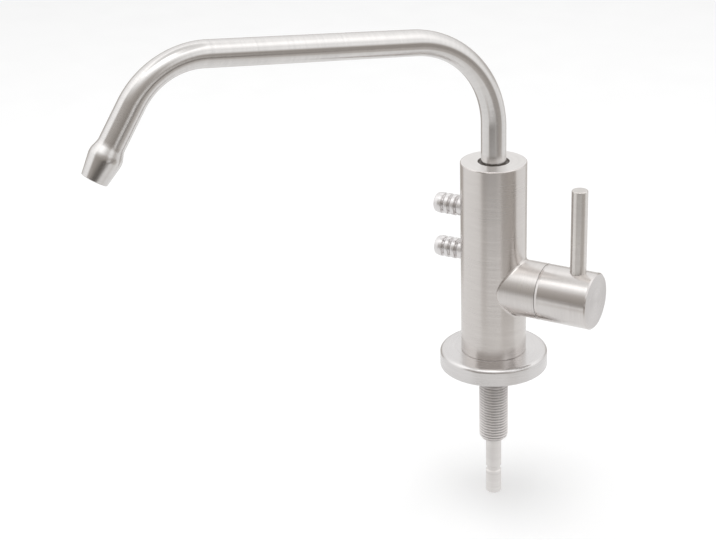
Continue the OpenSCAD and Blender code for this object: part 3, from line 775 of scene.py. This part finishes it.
# Darker patches on it: between two bearings in degrees and two distances, and their brightness
TABLE_PATCHES = (
    {"bearings": (-42, -22), "distances": (0.175, 0.3), "level": 0.68},
    {"bearings": (26, 74), "distances": (0.19, 0.45), "level": 0.54},
    {"bearings": (-25, 50), "distances": (0.12, 0.19), "level": 0.8},
    {"bearings": (-40, 50), "distances": (0.41, 0.7), "level": 0.14},
    {"bearings": (-46, 14), "distances": (0.7, 9.0), "level": 0.08},
    {"bearings": (42, 80), "distances": (0.45, 9.0), "level": 0.37},
    {"bearings": (140, 160), "distances": (0.24, 9.0), "level": 0.6},
    {"bearings": (-162, -126), "distances": (0.24, 9.0), "level": 0.5},
)
# How softly the patches end, in degrees and in metres
PATCH_TURN_SOFT = 7
PATCH_REACH_SOFT = 0.04


def make_floor(turn):
    """A plain pale floor at the stem's tip, which the metal mirrors with darker patches."""
    mesh = bpy.data.meshes.new("floor")
    half = FLOOR_SIZE / 2
    corners = [(-half, -half, 0), (half, -half, 0), (half, half, 0), (-half, half, 0)]
    mesh.from_pydata(corners, [], [(0, 1, 2, 3)])
    floor = add_object("floor", mesh)
    floor.location.z = CAD_BOX[0].z

    material, tree, surface = new_material("floor")
    path = tree.add("ShaderNodeLightPath").outputs
    place = tree.add("ShaderNodeTexCoord").outputs["Object"]
    paper = tree.remap(tree.noise(place, FLOOR_CLOUDS), 0, 1, *FLOOR_GREYS)
    tree.put(surface.inputs["Base Color"], tree.mix(path["Is Glossy Ray"], paper, 0.0))
    surface.inputs["Roughness"].default_value = FLOOR_ROUGH
    surface.inputs["Specular IOR Level"].default_value = 0.0

    ahead = tree.vector("DOT_PRODUCT", place, tuple(turn @ -BACK))
    mirrored = tree.remap(ahead, TABLE_BACK, TABLE_FRONT, TABLE_FAR, TABLE_NEAR)
    bearing = bearing_of(tree, place, turn)
    away = tree.vector("LENGTH", place)
    for patch in TABLE_PATCHES:
        inside = tree.math(
            "MULTIPLY",
            between(tree, bearing, *patch["bearings"], PATCH_TURN_SOFT),
            between(tree, away, *patch["distances"], PATCH_REACH_SOFT),
        )
        mirrored = tree.mix(inside, mirrored, patch["level"])
    colour = studio_colour(tree, mirrored, path["Is Glossy Ray"])
    glow = tree.math("MULTIPLY", path["Is Camera Ray"], FLOOR_GLOW)
    gloss = tree.math("MULTIPLY", path["Is Glossy Ray"], mirrored)
    tree.put(surface.inputs["Emission Color"], colour)
    tree.put(surface.inputs["Emission Strength"], tree.math("ADD", glow, gloss))
    dress(floor, material)


# The studio's walls, as the metal mirrors them: (degrees above level, brightness)
FRONT_WALL = (
    (0, 0.34), (18, 0.43), (30, 0.52), (39, 0.78), (46, 0.98), (53, 1.35), (59, 1.9), (80, 2.0)
)
RIGHT_WALL = (
    (0, 0.36), (8, 0.66), (16, 1.08), (24, 1.12), (34, 1.0), (45, 1.25), (59, 1.7), (67, 0.9)
)
SIDE_WALLS = ((0, 1.05), (25, 1.2), (45, 1.4), (59, 1.65), (67, 0.9))
BACK_WALL = (
    (0, 0.5), (8, 0.6), (18, 0.97), (25, 1.0), (39, 1.06), (50, 1.2), (58, 1.38), (66, 0.88)
)
# The bearings in degrees at which one wall turns into the next, and how softly
FRONT_SIDE = (-63, 78)
FRONT_SOFT = 9
RIGHT_FROM = 36
RIGHT_SOFT = 10
BACK_FROM = 120
BACK_SOFT = 25
# Even light on everything that is not a mirror
AMBIENT = 0.7


def make_world(turn):
    """White for the camera, even light on the object, and a plain studio in its reflections."""
    world = bpy.data.worlds.new("studio")
    world.use_nodes = True
    bpy.context.scene.world = world
    tree = Tree(world.node_tree)

    ray = tree.add("ShaderNodeTexCoord").outputs["Generated"]
    height = tree.add("ShaderNodeSeparateXYZ", {"Vector": ray}).outputs["Z"]
    height = tree.math("DEGREES", tree.math("ARCSINE", height))
    bearing = bearing_of(tree, ray, turn)
    aside = tree.math("ABSOLUTE", bearing)
    front, right = tree.ramp(height, FRONT_WALL), tree.ramp(height, RIGHT_WALL)
    sides, back = tree.ramp(height, SIDE_WALLS), tree.ramp(height, BACK_WALL)
    ahead = tree.mix(past(tree, bearing, RIGHT_FROM, RIGHT_SOFT), front, right)
    around = tree.mix(past(tree, aside, BACK_FROM, BACK_SOFT), sides, back)
    studio = tree.mix(between(tree, bearing, *FRONT_SIDE, FRONT_SOFT), around, ahead)

    path = tree.add("ShaderNodeLightPath").outputs
    mirrored = tree.math("MAXIMUM", path["Is Glossy Ray"], path["Is Transmission Ray"])
    strength = tree.mix(mirrored, AMBIENT, studio)
    strength = tree.math("MAXIMUM", strength, path["Is Camera Ray"])
    background = world.node_tree.nodes["Background"]
    tree.put(background.inputs["Color"], studio_colour(tree, studio, mirrored))
    tree.put(background.inputs["Strength"], strength)


SOFTBOX_PLACE = Vector((0.05, -0.1, 1.25))
SOFTBOX_SIZE = 1.0
SOFTBOX_POWER = 7.5


def make_softbox():
    """A square soft light that points at the middle of the object."""
    data = bpy.data.lights.new("softbox_above", "AREA")
    data.shape = "SQUARE"
    data.size = SOFTBOX_SIZE
    data.energy = SOFTBOX_POWER
    lamp = add_object("softbox_above", data)
    lamp.location = SOFTBOX_PLACE
    target = (CAD_BOX[0] + CAD_BOX[1]) / 2
    lamp.rotation_euler = (target - SOFTBOX_PLACE).to_track_quat("-Z", "Y").to_euler()
    lamp.visible_glossy = False


# The object

tube = make_spout_tube()
nozzle = make_nozzle()
shank = make_shank()
fillet = make_branch_fillet()
barbs = [make_barb(name) for name in ("hose_barb_upper", "hose_barb_lower")]

dress_column(fillet)
dress_flange()
dress_handle()
dress_spout(tube, nozzle)
dress_shank(shank)
for barb in barbs:
    dress_barb(barb)
dress_inner_pieces()

# The studio around it

camera_turn = make_camera()
make_floor(camera_turn)
make_world(camera_turn)
make_softbox()
bpy.context.scene.view_settings.view_transform = "Standard"
